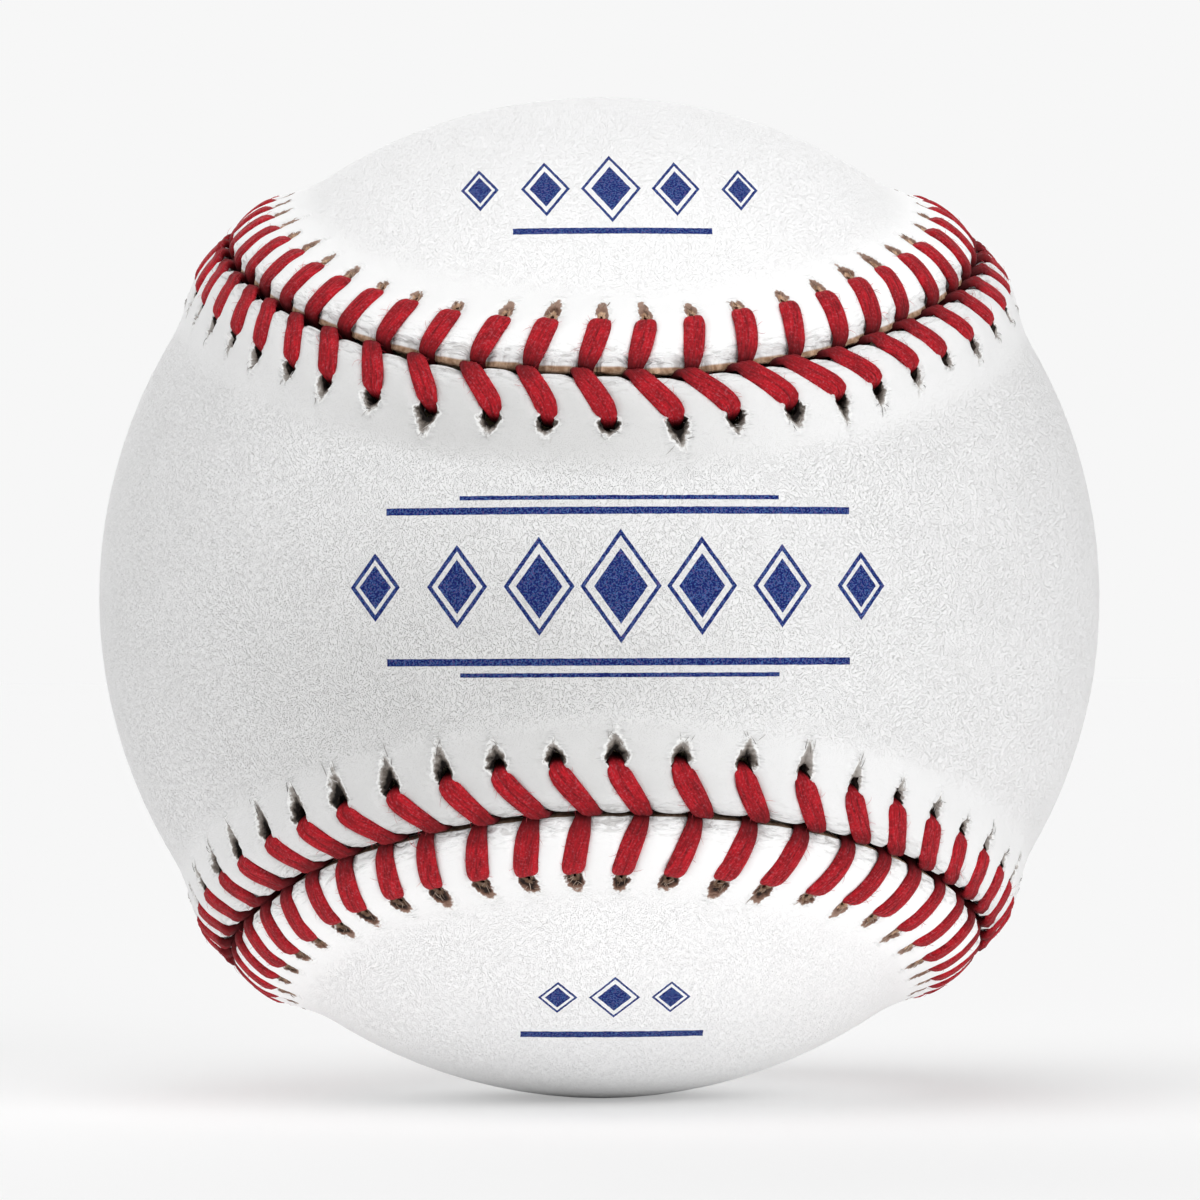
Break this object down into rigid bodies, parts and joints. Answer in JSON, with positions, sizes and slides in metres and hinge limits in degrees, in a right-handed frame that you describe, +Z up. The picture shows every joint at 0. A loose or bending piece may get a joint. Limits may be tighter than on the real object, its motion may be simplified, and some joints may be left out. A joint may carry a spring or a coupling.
{
  "type": "baseball",
  "caption": "Leather ball with a raised herringbone seam of red thread over wool windings and a cork and rubber centre.",
  "frame": {"origin": "centre of the ball", "axes": "+Z up. The front panel's narrow waist faces -Y and its lobes reach round to +X and -X; the back panel's waist faces +Y and its lobes reach round to +Z and -Z."},
  "size_m": [0.0734, 0.0742, 0.0734],
  "materials": {
    "cork": "moulded cork and rubber crumb",
    "black_rubber": "moulded, matt",
    "red_rubber": "moulded, matt",
    "grey_wool": "wound wool yarn",
    "white_wool": "wound wool yarn",
    "finishing_yarn": "fine wound yarn",
    "adhesive": "brushed rubber cement, tacky",
    "white_leather": "alum-tanned, fine pebbled grain",
    "red_thread": "waxed thread, satin"
  },
  "bodies": {
    "root": {"cork_core": "cork", "black_rubber_cup_upper": "black_rubber", "black_rubber_cup_lower": "black_rubber", "red_rubber_gasket": "red_rubber", "red_rubber_cup_left": "red_rubber", "red_rubber_cup_right": "red_rubber", "grey_four_ply_winding": "grey_wool", "white_three_ply_winding": "white_wool", "grey_three_ply_winding": "grey_wool", "white_finishing_winding": "finishing_yarn", "adhesive_coat": "adhesive", "cover_panel_front": "white_leather", "cover_panel_back": "white_leather", "seam_thread_first_needle": "red_thread", "seam_thread_second_needle": "red_thread"}
  },
  "joints": []
}
